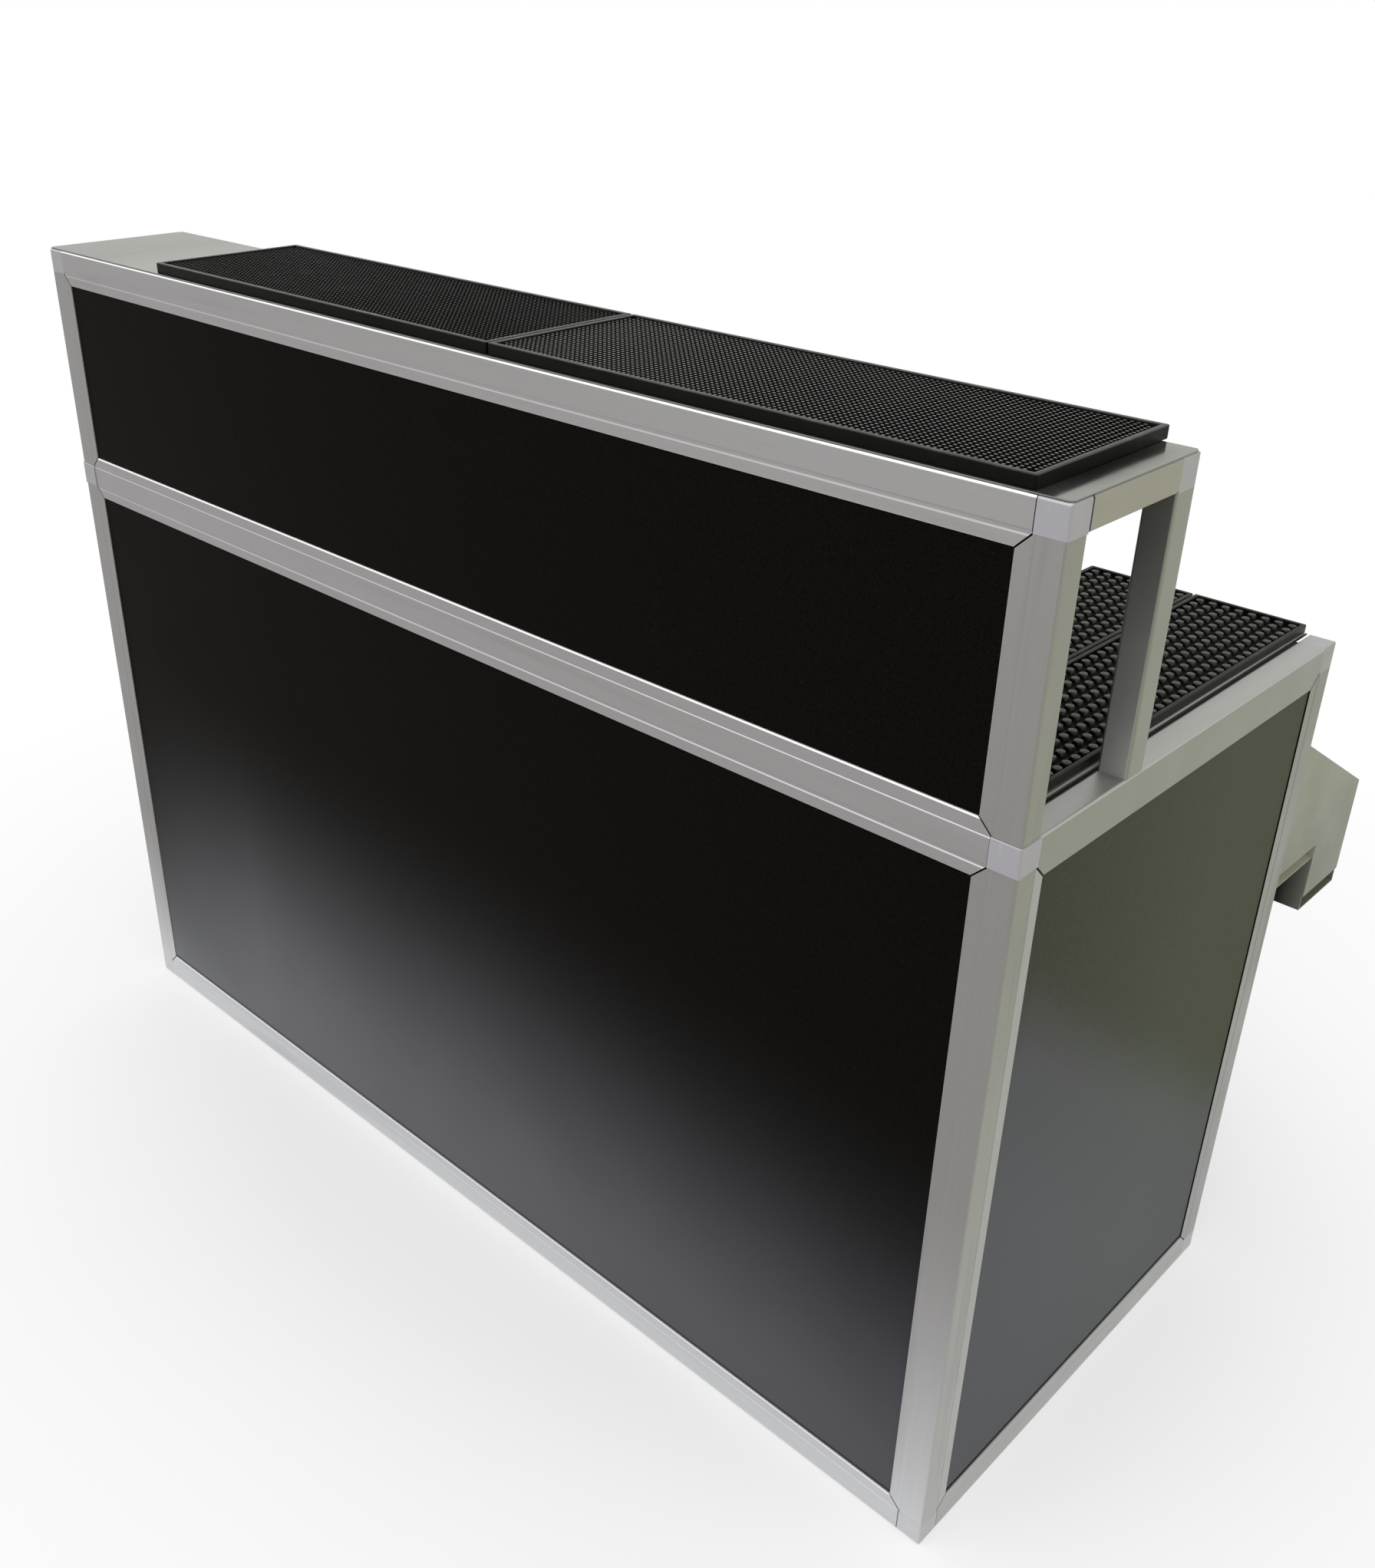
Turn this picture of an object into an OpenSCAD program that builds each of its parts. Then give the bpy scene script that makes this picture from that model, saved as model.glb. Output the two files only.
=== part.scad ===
// Folding portable bar: a plug-in aluminium frame with black panels, a lift-off
// worktop, a raised serving shelf, rubber mats and a two-step speed rack.
// Millimetres. X runs along the bar, the customer side faces -Y, Z is up.
// The two side frames hinge inwards on pins behind the front corners.

/* [Frame] */
// Length of the bar over the corner posts
frame_w = 1560; // [1440:10:1800]
// Depth from the front face to the back of the rear posts
frame_d = 636; // [560:4:700]
// Height of the worktop and of the middle rail
counter_h = 885; // [800:5:950]
// Height of the front frame's top rail
bar_h = 1180; // [1100:5:1300]
// Side of the square tube
tube = 30; // [28:0.5:34]
// Wall of the square tube
tube_wall = 1.6; // [1.2:0.1:2.4]
// Rounding of the tube's long edges
tube_r = 3; // [2.6:0.1:4]
// Width of the fin that holds a panel
fin_w = 14; // [11:0.5:17]
// Thickness of a fin
fin_t = 1.5; // [1.2:0.1:2]
// Step from the tube's face back to the fin
fin_inset = 0.5; // [0.3:0.1:1]
// Open line between two mitred fins
mitre_gap = 1; // [0.4:0.1:1.6]

/* [Corner pieces] */
// Open line between a tube and a corner piece
seam = 0.2; // [0.1:0.05:0.5]
// Length of a plug inside its tube
plug_len = 28; // [18:1:40]
// Clearance round a plug
plug_clear = 0.2; // [0.1:0.05:0.4]
// How far the middle corner pieces stand proud of the posts
mid_proud = 1; // [0.4:0.1:2]
// Rounding of a corner piece's seam edges
corner_edge_r = 1; // [0.5:0.1:1.5]

/* [Panels] */
// Thickness of the laminate panels
panel_t = 3; // [2:0.5:5]
// Clearance from a panel's edge to the tubes
panel_clear = 1; // [0.5:0.25:2]

/* [Side hinges] */
// Hinge pin's distance inwards from the posts' inner faces
pin_in = 6; // [5.8:0.1:7]
// Hinge pin's distance behind the front frame
pin_back = 6; // [6:0.1:7]
// Radius of the knuckles
knuckle_r = 5; // [4.5:0.1:5.4]
// Radius of the hinge pin
pin_r = 2.5; // [2:0.1:3]
// Running clearance round the pin
pin_clear = 0.05; // [0.03:0.01:0.08]
// Height of one hinge
hinge_h = 80; // [60:5:120]
// Height of the lower hinge above the floor
hinge_low = 100; // [60:10:200]
// Height of the upper hinge above the floor
hinge_high = 700; // [450:10:720]
// Thickness of a hinge leaf
leaf_t = 2; // [1.5:0.1:2.5]
// Gap between two knuckles, and round them
knuckle_gap = 0.4; // [0.2:0.1:0.6]
// Gap between the front frame and the swinging side frames
swing_gap = 1; // [0.6:0.1:2]
// Clearance between a front post's side fin and the swinging panel
fin_clear = 0.3; // [0.2:0.1:0.6]
// Depth of the side frame's hidden stile, along the side
stile_d = 30; // [26:1:36]
// How far the side panel starts behind the hinge pin
panel_start = 2; // [0.5:0.25:3]

/* [Worktop] */
// Thickness of the polished sheets
sheet_t = 1.5; // [1:0.25:2.5]
// Open line between the worktop sheet and the side rails
side_gap = 2; // [2:0.25:6]
// Width of the ledge that carries the sheet
ledge_w = 10; // [8:0.5:12]
// Thickness of the ledge
ledge_t = 2; // [1.5:0.25:3]
// Height of the ledge's flange
ledge_h = 20; // [14:1:24]
// Room between a folded side frame and the front ledge
fold_room = 24; // [10:2:40]
// Gap between the front ledge and the underframe
beam_gap = 4; // [2:0.5:10]
// How far the underframe stays inside the posts, which frees the swinging sides
underframe_in = 64; // [60:2:90]
// Side of the underframe's small tube
beam = 20; // [16:1:24]
// Number of cross bearers
bearer_count = 4; // [2:1:5]

/* [Serving shelf] */
// Depth of the shelf from the bar's front face
shelf_d = 204; // [180:2:250]
// Corner rounding of the shelf sheet
shelf_r = 5; // [3:0.5:8]
// How far the shelf sheet stays inside the frame's outline
shelf_in = 1; // [0.5:0.25:2]
// Gap between the front corner piece and the shelf's side rail
shelf_gap = 2.5; // [1:0.25:4]

/* [Rubber mats] */
// Length of an upper mat
long_mat_l = 626; // [560:2:640]
// Width of an upper mat
long_mat_w = 209; // [160:1:215]
// Distance from the shelf's right end to the upper mats
long_mat_end = 35; // [30:1:60]
// Distance from the front face to the upper mats
long_mat_front = 4; // [3:0.5:10]
// Length of a worktop mat
work_mat_l = 588; // [480:2:592]
// Width of a worktop mat
work_mat_w = 131; // [110:1:150]
// Distance from the worktop's right edge to the first mat
work_mat_end = 5.5; // [2:0.5:20]
// Distance from the rear face to the worktop mats, which hang over when it is negative
work_mat_rear = -1; // [-3:0.5:12]
// Height of a worktop mat over its rim
work_mat_h = 9; // [7:0.5:12]
// Height of an upper mat over its rim
long_mat_h = 12; // [8:0.5:15]
// Width of a mat's rim
mat_rim = 5; // [4:0.5:8]
// Drop from the rim to the tips of the nubs
mat_drop = 1; // [0.5:0.25:3]
// Corner rounding of a mat
mat_r = 2; // [1:0.5:6]
// Gap between two mats
mat_gap = 2; // [1:0.5:5]

/* [Speed rack] */
// Thickness of the rack's sheet metal
rack_t = 1.5; // [1:0.25:2]
// Inside width of the inner step
inner_w = 99; // [85:1:120]
// Inside width of the outer step
outer_w = 99; // [85:1:120]
// Height of the inner step's floor
inner_floor = 566; // [540:2:600]
// Height of the outer step's floor
outer_floor = 490; // [460:2:520]
// Top of the rack's back plate
rack_top = 757; // [740:1:780]
// Top of the wall between the steps
middle_top = 690; // [650:2:700]
// Top of the outer wall
outer_top = 638; // [600:2:650]
// Height of the open slots under the end plates
slot_h = 20; // [12:1:30]
// How far the end plates stay inside the bar's length
rack_end_in = 1; // [0.5:0.25:3]
// Gap between the rear posts and the rack's hooks
rack_gap = 1.6; // [1.3:0.1:3]
// Thickness of a hook strap
hook_t = 2; // [1.5:0.25:3]
// Width of a hook strap
hook_w = 40; // [25:1:60]
// Distance of each hook from the middle of the bar
hook_x = 390; // [270:5:430]
// How deep a hook reaches down into the worktop
hook_drop = 16; // [10:1:24]
// Clearance round a hook in the worktop sheet's slot
hook_clear = 1.5; // [0.75:0.25:2]
// Length of a hook strap on the back plate
hook_lap = 90; // [50:5:120]

/* [Fasteners] */
// Radius of a screw's head
screw_head_r = 3.5; // [3:0.1:4]
// Height of a screw's head
screw_head_h = 1.6; // [1:0.1:2]
// Radius of a screw's shank
screw_r = 1.8; // [1.4:0.1:2.2]
// Length of a screw's shank below a leaf
screw_len = 8; // [5:1:12]

/* [Hidden] */
$fn = 48;

silver = [0.70, 0.70, 0.69];
lavender = [0.67, 0.66, 0.69];
laminate = [0.04, 0.04, 0.045];
steel = [0.62, 0.62, 0.61];
rubber = [0.05, 0.05, 0.05];
ledge_black = [0.08, 0.08, 0.08];
zinc = [0.55, 0.55, 0.56];

half_w = frame_w / 2;
inner_x = half_w - tube;
fin_back = fin_inset + fin_t;
plug = tube - 2 * tube_wall - 2 * plug_clear;
plug_r = tube_r - tube_wall - plug_clear;
pin_x = inner_x - pin_in;
pin_y = tube + pin_back;
swing_y = tube + swing_gap;
rear_y = frame_d - tube;
counter_under = counter_h - tube;
sheet_under = counter_h - sheet_t;
sheet_half = inner_x - side_gap;
sheet_front = tube + swing_gap;
sheet_rear = frame_d - ledge_t;
under_x = inner_x - underframe_in;
beam_y = tube + ledge_w + beam_gap;
bar_under = bar_h - tube;
shelf_rear = shelf_d - tube;
shelf_top = bar_h + sheet_t;
stile_w = tube - fin_back - panel_t;
panel_front = pin_y + panel_start;
front_ledge_half = pin_x - (frame_d - pin_y) - fold_room;
side_ledge_y = swing_y + stile_d;
ledge_screw_z = sheet_under - ledge_h / 2 - ledge_t;
hook_front_y = rear_y - 2 * hook_t;
hook_back_y = frame_d + rack_gap;
rack_back_y = hook_back_y + hook_t;
middle_y = rack_back_y + rack_t + inner_w;
outer_y = middle_y + rack_t + outer_w;
rack_out_y = outer_y + rack_t;
rack_x = half_w - rack_end_in;
rack_end_y = frame_d + rack_gap / 2;
front_y = -mid_proud;
y_shift = -(front_y + rack_out_y) / 2;
knuckles = 5;
knuckle_h = hinge_h / knuckles;
pin_head_h = 2;
pin_head_over = 1.5;
pin_head_r = pin_r + pin_head_over;
hinge_heights = [hinge_low, hinge_high];
leaf_lead = 2;
leaf_tail = 4;
leaf_front = fin_back + panel_t + leaf_lead;
leaf_back = swing_y + stile_d - leaf_tail;
post_screw_y = (leaf_front + pin_y - knuckle_r) / 2;
stile_screw_y = (pin_y + knuckle_r + leaf_back) / 2;
screw_spots = [0.2, 0.8];
ledge_spots = [0.08, 0.5, 0.92];
hole_clear = 0.1;
hole_r = screw_r + hole_clear;
// How far a cut runs past the metal, and how far a knuckle's strip runs into its leaf
cut_over = 1;
strip_lap = 1;
work_mat_right = sheet_half - work_mat_end;
long_mat_right = half_w - long_mat_end;

// Everything stands with the middle of its outline over the origin.
module placed() {
  translate([0, y_shift, 0]) children();
}

// Draws a right-hand piece, or its mirror image on the left.
module on_side(right) {
  placed() if (right) children();
  placed() if (!right) mirror([1, 0, 0]) children();
}

module rounded_square(w, d, r) {
  translate([r, 0]) square([w - 2 * r, d]);
  translate([0, r]) square([w, d - 2 * r]);
  for (x = [r, w - r], y = [r, d - r]) translate([x, y]) circle(r);
}

module hollow(w, d) {
  difference() {
    rounded_square(w, d, tube_r);
    translate([tube_wall, tube_wall])
      rounded_square(w - 2 * tube_wall, d - 2 * tube_wall, tube_r - tube_wall);
  }
}

// Tube section: x is the depth behind the outer face, y runs across that face.
// The low fin reaches below the tube, the high fin above it, the side fin inwards.
module section(low, high, side) {
  difference() {
    union() {
      rounded_square(tube, tube, tube_r);
      if (low) translate([fin_inset, -fin_w]) square([fin_t, fin_w + tube_r]);
      if (high) translate([fin_inset, tube - tube_r]) square([fin_t, fin_w + tube_r]);
      if (side) translate([tube - tube_r, fin_inset])
        square([fin_w + tube_r, fin_t - fin_clear]);
    }
    translate([tube_wall, tube_wall])
      rounded_square(tube - 2 * tube_wall, tube - 2 * tube_wall, tube_r - tube_wall);
  }
}

// Cuts the start of a low fin at 45 degrees.
module mitre_cut() {
  rotate([90, 0, 90]) linear_extrude(tube)
    polygon([
      [0, -cut_over], [-fin_w - cut_over, -cut_over],
      [-fin_w - cut_over, fin_w + cut_over + mitre_gap], [0, mitre_gap]
    ]);
}

module both_ends(len) {
  children();
  translate([0, 0, len]) mirror([0, 0, 1]) children();
}

// A length of the section along Z with the fins mitred at both ends.
module bar(len, low = false, high = false, side = false) {
  difference() {
    linear_extrude(len) section(low, high, side);
    if (low) both_ends(len) mitre_cut();
    if (high) translate([0, tube, 0]) mirror([0, 1, 0]) both_ends(len) mitre_cut();
    if (side) mirror([1, -1, 0]) translate([0, tube, 0]) mirror([0, 1, 0])
      both_ends(len) mitre_cut();
  }
}

// A bar across the front, its outer face at the front and its underside at z.
module front_bar(z, low = false, high = false) {
  translate([seam - inner_x, 0, z]) rotate([90, 0, 90])
    bar(2 * (inner_x - seam), low, high);
}

// A bar along the right side, its outer face outwards and its underside at z.
module side_bar(y0, y1, z, low = false, high = false) {
  translate([half_w, y0, z]) rotate([90, 0, 180]) bar(y1 - y0, low, high);
}

// A right front post between two heights.
module front_post(z0, z1, side) {
  translate([half_w, 0, z0 + seam]) rotate([0, 0, 90])
    bar(z1 - z0 - 2 * seam, high = true, side = side);
}

function is_free(f, s) = f == 2 || f == s;

module corner_cut(r) {
  difference() {
    translate([-cut_over, -cut_over]) square(r + cut_over);
    translate([r, r]) circle(r);
  }
}

// A rectangle rounded at the corners that lie between two free faces.
// A free value of 1 or -1 names one free face, 2 means both and 0 none.
module soft_square(w, d, r, free_w, free_d) {
  difference() {
    square([w, d]);
    for (a = [-1, 1], b = [-1, 1])
      if (is_free(free_w, a) && is_free(free_d, b))
        translate([a < 0 ? 0 : w, b < 0 ? 0 : d])
          rotate(a < 0 ? (b < 0 ? 0 : -90) : (b < 0 ? 90 : 180)) corner_cut(r);
  }
}

module block(w, d, h, r, rim, free) {
  intersection() {
    linear_extrude(h) soft_square(w, d, r, free[0], free[1]);
    translate([0, d, 0]) rotate([90, 0, 0]) linear_extrude(d)
      soft_square(w, h, rim, free[0], free[2]);
    rotate([90, 0, 90]) linear_extrude(w) soft_square(d, h, rim, free[1], free[2]);
  }
}

// Plugs that reach from a corner piece into its tubes, one for each turn.
module plugs(turns) {
  for (t = turns)
    translate([tube / 2, tube / 2, tube / 2]) rotate(t) translate([-plug / 2, -plug / 2, 0])
      linear_extrude(tube / 2 + plug_len) rounded_square(plug, plug, plug_r);
}

to_left = [0, -90, 0];
to_front = [90, 0, 0];
to_top = [0, 0, 0];
to_floor = [180, 0, 0];

module corner_piece(x, y, z, free, turns) {
  color(lavender) translate([x, y, z]) {
    block(tube, tube, tube, tube_r, tube_r, free);
    plugs(turns);
  }
}

module top_corner() {
  corner_piece(inner_x, 0, bar_under, [1, -1, 1], [to_left, to_floor]);
}

module bottom_corner() {
  corner_piece(inner_x, 0, 0, [1, -1, -1], [to_left, to_top]);
}

module middle_corner() {
  color(lavender) translate([inner_x, 0, counter_under]) {
    translate([0, -mid_proud, 0])
      block(tube + mid_proud, tube + mid_proud, tube, tube_r, corner_edge_r, [1, -1, 2]);
    plugs([to_left, to_top, to_floor]);
  }
}

module rear_top_corner() {
  corner_piece(inner_x, rear_y, counter_under, [2, 1, 1], [to_front, to_floor]);
}

module rear_bottom_corner() {
  corner_piece(inner_x, rear_y, 0, [2, 1, -1], [to_front, to_top]);
}

module shelf_corner() {
  corner_piece(inner_x, shelf_rear, bar_under, [1, 1, 1], [to_left, to_front, to_floor]);
}

// Screw axes: z points from the metal that a screw holds out through its head.
module post_screw_axes() {
  for (h = hinge_heights, f = screw_spots)
    translate([inner_x, post_screw_y, h + f * hinge_h]) rotate([0, -90, 0]) children();
}

module stile_screw_axes() {
  for (h = hinge_heights, f = screw_spots)
    translate([inner_x, stile_screw_y, h + f * hinge_h]) rotate([0, -90, 0]) children();
}

module side_ledge_screw_axes() {
  for (f = ledge_spots)
    translate([inner_x, side_ledge_y + f * (rear_y - side_ledge_y), ledge_screw_z])
      rotate([0, -90, 0]) children();
}

module front_ledge_screw_axes() {
  for (x = [-0.8, 0.8] * front_ledge_half)
    translate([x, tube, ledge_screw_z]) rotate([-90, 0, 0]) children();
}

module screw(plate) {
  translate([0, 0, -screw_len]) cylinder(h = screw_len + plate, r = screw_r);
  translate([0, 0, plate]) cylinder(h = screw_head_h, r1 = screw_head_r, r2 = screw_head_r * 0.7);
}

module screw_hole(plate) {
  translate([0, 0, -tube_wall - cut_over])
    cylinder(h = tube_wall + plate + 2 * cut_over, r = hole_r);
}

module lower_post() {
  color(silver) difference() {
    front_post(tube, counter_under, true);
    post_screw_axes() screw_hole(0);
  }
}

module upper_post() {
  color(silver) front_post(counter_h, bar_under, false);
}

module middle_rail() {
  color(silver) difference() {
    front_bar(counter_under, low = true, high = true);
    front_ledge_screw_axes() screw_hole(0);
  }
}

module front_panel(z0, z1) {
  color(laminate) translate([panel_clear - inner_x, fin_back, z0 + panel_clear])
    cube([2 * (inner_x - panel_clear), panel_t, z1 - z0 - 2 * panel_clear]);
}

module ledge_section() {
  translate([0, -ledge_t]) square([ledge_w, ledge_t]);
  translate([0, -ledge_h]) square([ledge_t, ledge_h]);
}

module front_ledge() {
  color(ledge_black) difference() {
    translate([-front_ledge_half, tube, sheet_under]) rotate([90, 0, 90])
      linear_extrude(2 * front_ledge_half) ledge_section();
    front_ledge_screw_axes() screw_hole(ledge_t);
  }
}

module side_ledge() {
  color(ledge_black) difference() {
    translate([inner_x, side_ledge_y, sheet_under]) rotate([90, 0, 180])
      linear_extrude(rear_y - side_ledge_y) ledge_section();
    side_ledge_screw_axes() screw_hole(ledge_t);
  }
}

module knuckle(k) {
  z0 = k * knuckle_h + knuckle_gap / 2;
  translate([pin_x, pin_y, z0]) cylinder(h = knuckle_h - knuckle_gap, r = knuckle_r);
}

module pin_bore() {
  translate([pin_x, pin_y, -cut_over]) cylinder(h = hinge_h + 2 * cut_over, r = pin_r + pin_clear);
}

// The strip that joins a leaf to one of its knuckles.
module knuckle_strip(k, y0, y1) {
  translate([inner_x - leaf_t, y0, k * knuckle_h + knuckle_gap / 2])
    cube([leaf_t - knuckle_gap, y1 - y0, knuckle_h - knuckle_gap]);
}

module fixed_leaf() {
  difference() {
    union() {
      translate([inner_x - leaf_t, leaf_front, 0]) cube([leaf_t, tube - leaf_front, hinge_h]);
      for (k = [0:2:knuckles - 1]) {
        knuckle(k);
        knuckle_strip(k, tube - strip_lap, pin_y);
      }
    }
    pin_bore();
  }
}

module swing_leaf() {
  plate_start = pin_y + knuckle_r + knuckle_gap;
  difference() {
    union() {
      translate([inner_x - leaf_t, plate_start, 0])
        cube([leaf_t, leaf_back - plate_start, hinge_h]);
      for (k = [1:2:knuckles - 2]) {
        knuckle(k);
        knuckle_strip(k, pin_y, plate_start + strip_lap);
      }
    }
    pin_bore();
  }
}

module hinge_fixed_leaves() {
  color(zinc) for (right = [false, true]) on_side(right) difference() {
    for (h = hinge_heights) translate([0, 0, h]) fixed_leaf();
    post_screw_axes() screw_hole(leaf_t);
  }
}

module swing_leaves() {
  color(zinc) difference() {
    for (h = hinge_heights) translate([0, 0, h]) swing_leaf();
    stile_screw_axes() screw_hole(leaf_t);
  }
}

module hinge_pin() {
  translate([pin_x, pin_y, knuckle_gap / 2]) cylinder(h = hinge_h - knuckle_gap, r = pin_r);
  for (z = [knuckle_gap / 2 - pin_head_h, hinge_h - knuckle_gap / 2])
    translate([pin_x, pin_y, z]) cylinder(h = pin_head_h, r = pin_head_r);
}

module hinge_pins() {
  color(zinc) for (right = [false, true], h = hinge_heights)
    on_side(right) translate([0, 0, h]) hinge_pin();
}

module front_screws() {
  color(zinc) {
    for (right = [false, true]) on_side(right) post_screw_axes() screw(leaf_t);
    placed() front_ledge_screw_axes() screw(ledge_t);
  }
}

module side_screws() {
  color(zinc) {
    stile_screw_axes() screw(leaf_t);
    side_ledge_screw_axes() screw(ledge_t);
  }
}

module side_top_rail() {
  color(silver) difference() {
    side_bar(swing_y, rear_y - seam, counter_under, low = true);
    side_ledge_screw_axes() screw_hole(0);
  }
}

module side_bottom_rail() {
  color(silver) side_bar(swing_y, rear_y - seam, 0, high = true);
}

module rear_post() {
  color(silver) translate([half_w, frame_d, tube + seam]) rotate([0, 0, 180])
    bar(counter_under - tube - 2 * seam, high = true);
}

module hinge_stile() {
  color(silver) difference() {
    translate([inner_x, swing_y, tube + seam]) linear_extrude(counter_under - tube - 2 * seam)
      hollow(stile_w, stile_d);
    stile_screw_axes() screw_hole(0);
  }
}

module side_panel() {
  color(laminate)
    translate([half_w - fin_back - panel_t, panel_front, tube + panel_clear])
      cube([panel_t, rear_y - panel_clear - panel_front, counter_under - tube - 2 * panel_clear]);
}

module hook_slots() {
  for (x = [-hook_x, hook_x])
    translate([x - hook_w / 2 - hook_clear, hook_front_y - hook_clear, counter_h - 2 * sheet_t])
      cube([hook_w + 2 * hook_clear, hook_t + 2 * hook_clear, 3 * sheet_t]);
}

module worktop_sheet() {
  color(steel) difference() {
    translate([-sheet_half, sheet_front, sheet_under])
      cube([2 * sheet_half, sheet_rear - sheet_front, sheet_t]);
    hook_slots();
  }
}

module worktop_rear_rail() {
  color(silver) translate([-under_x, rear_y, sheet_under - tube]) rotate([90, 0, 90])
    linear_extrude(2 * under_x) hollow(tube, tube);
}

module worktop_front_beam() {
  color(silver) translate([-under_x, beam_y, sheet_under - beam]) rotate([90, 0, 90])
    linear_extrude(2 * under_x) hollow(beam, beam);
}

module worktop_bearers() {
  step = (2 * under_x - beam) / (bearer_count - 1);
  color(silver) for (i = [0:bearer_count - 1])
    translate([i * step - under_x, rear_y, sheet_under - beam]) rotate([90, 0, 0])
      linear_extrude(rear_y - beam_y - beam) hollow(beam, beam);
}

module shelf_sheet() {
  color(steel) translate([shelf_in - half_w, shelf_in, bar_h]) linear_extrude(sheet_t)
    rounded_square(2 * (half_w - shelf_in), shelf_d - 2 * shelf_in, shelf_r);
}

module shelf_rail() {
  color(silver) side_bar(tube + shelf_gap, shelf_rear - seam, bar_under);
}

module shelf_rear_rail() {
  color(silver) translate([0, shelf_rear, 0]) front_bar(bar_under);
}

module shelf_leg() {
  color(silver) translate([inner_x, shelf_rear, counter_h])
    linear_extrude(bar_under - counter_h - seam) hollow(tube, tube);
}

// Both steps are bent sheets, drawn by their side profiles.
module along_rack(half) {
  translate([-half, 0, 0]) rotate([90, 0, 90]) linear_extrude(2 * half) children();
}

module rack_inner_tray() {
  color(steel) along_rack(rack_x - rack_t) {
    translate([rack_back_y, inner_floor]) square([rack_t, rack_top - inner_floor]);
    translate([rack_back_y, inner_floor]) square([middle_y - rack_back_y, rack_t]);
  }
}

module rack_outer_tray() {
  color(steel) along_rack(rack_x - rack_t) {
    translate([middle_y, outer_floor]) square([rack_t, middle_top - outer_floor]);
    translate([middle_y, outer_floor]) square([rack_out_y - middle_y, rack_t]);
    translate([outer_y, outer_floor]) square([rack_t, outer_top - outer_floor]);
  }
}

module rack_end() {
  color(steel) translate([rack_x - rack_t, 0, 0]) rotate([90, 0, 90]) linear_extrude(rack_t)
    polygon([
      [rack_end_y, rack_top], [rack_end_y, inner_floor + slot_h],
      [middle_y, inner_floor + slot_h], [middle_y, outer_floor + slot_h],
      [rack_out_y, outer_floor + slot_h], [rack_out_y, outer_top]
    ]);
}

module rack_hooks() {
  color(zinc) for (x = [-hook_x, hook_x])
    translate([x - hook_w / 2, 0, 0]) rotate([90, 0, 90]) linear_extrude(hook_w) {
      translate([hook_back_y, rack_top - hook_lap])
        square([hook_t, counter_h + hook_t - rack_top + hook_lap]);
      translate([hook_front_y, counter_h]) square([rack_back_y - hook_front_y, hook_t]);
      translate([hook_front_y, counter_h - hook_drop]) square([hook_t, hook_drop + hook_t]);
    }
}

// A mat lies with its lower left front corner at the origin.
module mat(l, w, h) {
  color(rubber) difference() {
    linear_extrude(h) rounded_square(l, w, mat_r);
    translate([mat_rim, mat_rim, h - mat_drop]) cube([l - 2 * mat_rim, w - 2 * mat_rim, h]);
  }
}

module shelf_mat(n) {
  translate([long_mat_right - n * long_mat_l - (n - 1) * mat_gap, long_mat_front, shelf_top])
    mat(long_mat_l, long_mat_w, long_mat_h);
}

module worktop_mat(n) {
  translate([
    work_mat_right - n * work_mat_w - (n - 1) * mat_gap,
    frame_d - work_mat_rear - work_mat_l, counter_h
  ]) mat(work_mat_w, work_mat_l, work_mat_h);
}

placed() color(silver) front_bar(bar_under, low = true);  // top_rail
placed() middle_rail();
placed() color(silver) front_bar(0, high = true);  // bottom_rail
on_side(false) lower_post();  // lower_post_left
on_side(true) lower_post();  // lower_post_right
on_side(false) upper_post();  // upper_post_left
on_side(true) upper_post();  // upper_post_right
on_side(false) top_corner();  // top_corner_left
on_side(true) top_corner();  // top_corner_right
on_side(false) middle_corner();  // middle_corner_left
on_side(true) middle_corner();  // middle_corner_right
on_side(false) bottom_corner();  // bottom_corner_left
on_side(true) bottom_corner();  // bottom_corner_right
placed() front_panel(counter_h, bar_under);  // upper_panel
placed() front_panel(tube, counter_under);  // lower_panel
placed() front_ledge();
hinge_fixed_leaves();
hinge_pins();
front_screws();
on_side(false) side_top_rail();  // side_top_rail_left
on_side(false) side_bottom_rail();  // side_bottom_rail_left
on_side(false) rear_post();  // rear_post_left
on_side(false) hinge_stile();  // hinge_stile_left
on_side(false) side_panel();  // side_panel_left
on_side(false) rear_top_corner();  // rear_top_corner_left
on_side(false) rear_bottom_corner();  // rear_bottom_corner_left
on_side(false) side_ledge();  // side_ledge_left
on_side(false) swing_leaves();  // hinge_swing_leaves_left
on_side(false) side_screws();  // side_screws_left
on_side(true) side_top_rail();  // side_top_rail_right
on_side(true) side_bottom_rail();  // side_bottom_rail_right
on_side(true) rear_post();  // rear_post_right
on_side(true) hinge_stile();  // hinge_stile_right
on_side(true) side_panel();  // side_panel_right
on_side(true) rear_top_corner();  // rear_top_corner_right
on_side(true) rear_bottom_corner();  // rear_bottom_corner_right
on_side(true) side_ledge();  // side_ledge_right
on_side(true) swing_leaves();  // hinge_swing_leaves_right
on_side(true) side_screws();  // side_screws_right
placed() worktop_sheet();
placed() worktop_rear_rail();
placed() worktop_front_beam();
placed() worktop_bearers();
placed() shelf_sheet();
on_side(false) shelf_rail();  // shelf_rail_left
on_side(true) shelf_rail();  // shelf_rail_right
placed() shelf_rear_rail();
on_side(false) shelf_corner();  // shelf_corner_left
on_side(true) shelf_corner();  // shelf_corner_right
on_side(false) shelf_leg();  // shelf_leg_left
on_side(true) shelf_leg();  // shelf_leg_right
placed() rack_inner_tray();
placed() rack_outer_tray();
on_side(false) rack_end();  // rack_end_left
on_side(true) rack_end();  // rack_end_right
placed() rack_hooks();
placed() shelf_mat(2);  // shelf_mat_left
placed() shelf_mat(1);  // shelf_mat_right
placed() worktop_mat(2);  // worktop_mat_left
placed() worktop_mat(1);  // worktop_mat_right
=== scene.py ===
"""The look of a folding portable bar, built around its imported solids. Metres, Z up."""

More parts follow.
